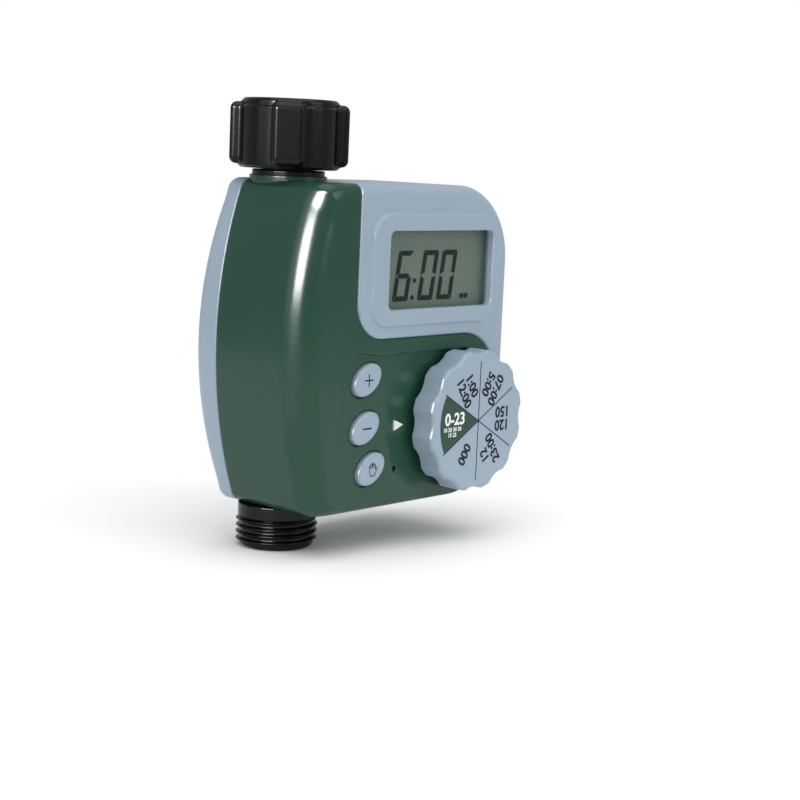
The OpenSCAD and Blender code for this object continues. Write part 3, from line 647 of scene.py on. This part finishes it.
def thread(x, y, z, z0, z1):
    """0 at the root to 1 at the crest of a helical ridge that runs out at z0 and z1."""
    phase = (z / PITCH - np.arctan2(y, x) / (2 * math.pi)) % 1
    tooth = np.clip((0.5 - np.abs(phase - 0.5)) * 2.9 - 0.42, 0, 1)
    return smooth(tooth) * smooth((z - z0) / 1.2) * smooth((z1 - z) / 1.2)


def nut(x, y, z):
    r = np.hypot(x, y)
    f = cap(cap(r - 16.2, z - 142.4, 0.6), 122.9 - z, 1.2)
    f = join(f, cap(cap(r - 15.6, z - 145, 1.5), 130 - z), 0.3)
    turn = math.radians(-46)
    u0, v0 = x * math.cos(turn) + y * math.sin(turn), y * math.cos(turn) - x * math.sin(turn)
    for u, v in ((u0, -v0), (u0, v0), (v0, u0), (v0, -u0)):
        lug = cap(cap(np.abs(u) - 5, v - 19, 1.5), between(z, 124, 143.6), 2.2)
        f = join(f, np.maximum(lug, 12 - v), 0.7)
    bore = r - 13.35 + 0.95 * thread(x, y, z, 133, 146)
    f = cut(f, np.maximum(bore, 133.2 - z), 0.25)
    f = cut(f, rod(x, y, z, 13, 126.9, 140))
    return cut(f, rod(x, y, z, 8.68, 120, 128), 0.3)


skin("nut_skin", nut, (-20, -20, 122), (20, 20, 146), 0.4, "black_plastic", "nut", ["swivel_nut"])


def valve_body(x, y, z):
    r = np.hypot(x, y)
    across = np.hypot(y, z - 92)
    f = cap(r - 12.15 - 1.3 * thread(x, y, z, 0.9, 10.4), between(z, 0, 10.5), 1.1)
    f = join(f, rod(x, y, z, 12.9, 9.8, 14.2, 0.3), 0.3)
    f = join(f, rod(x, y, z, 9.7, 9.6, 122.6), 0.3)
    f = join(f, rod(x, y, z, 11.7, 119.8, 122.6, 0.5))
    f = join(f, cap(across - 15.5, between(x, 0, 13), 0.5), 1.0)
    f = cut(f, rod(x, y, z, 8.2, -1, 74), 0.6)
    f = cut(f, rod(x, y, z, 4.5, 70, 92))
    f = cut(f, rod(x, y, z, 6.9, 98, 113))
    f = cut(f, rod(x, y, z, 8.6, 112, 124))
    chamber = cut(cap(across - 11, between(x, 6.2, 14)), cap(across - 6, x - 12.2))
    f = cut(f, chamber)
    f = cut(f, cap(across - 4.5, between(x, 0, 14)))
    for low in (14.9, 117.9):
        f = cut(f, cut(rod(x, y, z, 12, low, low + 1.2), r - 9.2))
    return f


skin("valve_body_skin", valve_body, (-16, -16, -0.5), (16, 16, 123), 0.42, "black_plastic", "housing",
     ["valve_body"])


# ---------------------------------------------------------------- battery drawer

def battery_tray(x, y, z):
    cy, cz, x0, face = -3.25, 59, 24, RIGHT - WALL
    f = brick(x, y, z, (x0, cy - 8.65, cz - 16.7), (face + 0.5, cy + 8.65, cz + 16.7), 0.8)
    f = join(f, brick(x, y, z, (face, cy - 9.45, cz - 17.7), (RIGHT, cy + 9.45, cz + 17.7), 0.9), 0.2)
    for s in (-8.2, 8.2):
        bay = rod(y - cy, z - cz - s, x, 7.3, x0 - 1, 75.5)
        bay = np.minimum(bay, brick(x, y, z, (x0 - 1, -20, cz + s - 7.3), (75.5, cy, cz + s + 7.3)))
        f = cut(f, bay, 0.3)
    f = cut(f, brick(x, y, z, (74, cy - 4.1, cz - 13.3), (74.65, cy + 4.1, cz + 13.3), 0.02))
    inner = brick(x, y, z, (50, cy - 8.05, cz - 16.1), (90, cy + 8.05, cz + 16.1), 0.5)
    f = cut(f, np.maximum(between(x, face - 2.2, face - 0.8), -inner))
    scoop = np.hypot(np.hypot(y - cy, z - cz), x - RIGHT - 9) - 10.9
    return cut(f, scoop, 0.4)


skin("battery_tray_skin", battery_tray, (23, -13, 40), (78.5, 7, 78), 0.45, "grey_plastic", "drawer",
     ["battery_tray"])


# ---------------------------------------------------------------- floor

FLOOR_Z, FLOOR_R = -0.1452, 0.5
floor_mesh = bpy.data.meshes.new("floor")
turns = [2 * math.pi * i / 128 for i in range(128)]
floor_mesh.from_pydata([(FLOOR_R * math.cos(a), FLOOR_R * math.sin(a), FLOOR_Z) for a in turns], [], [range(128)])
floor = bpy.data.objects.new("floor", floor_mesh)
SCENE.collection.objects.link(floor)
floor_mesh.materials.append(FLOOR)
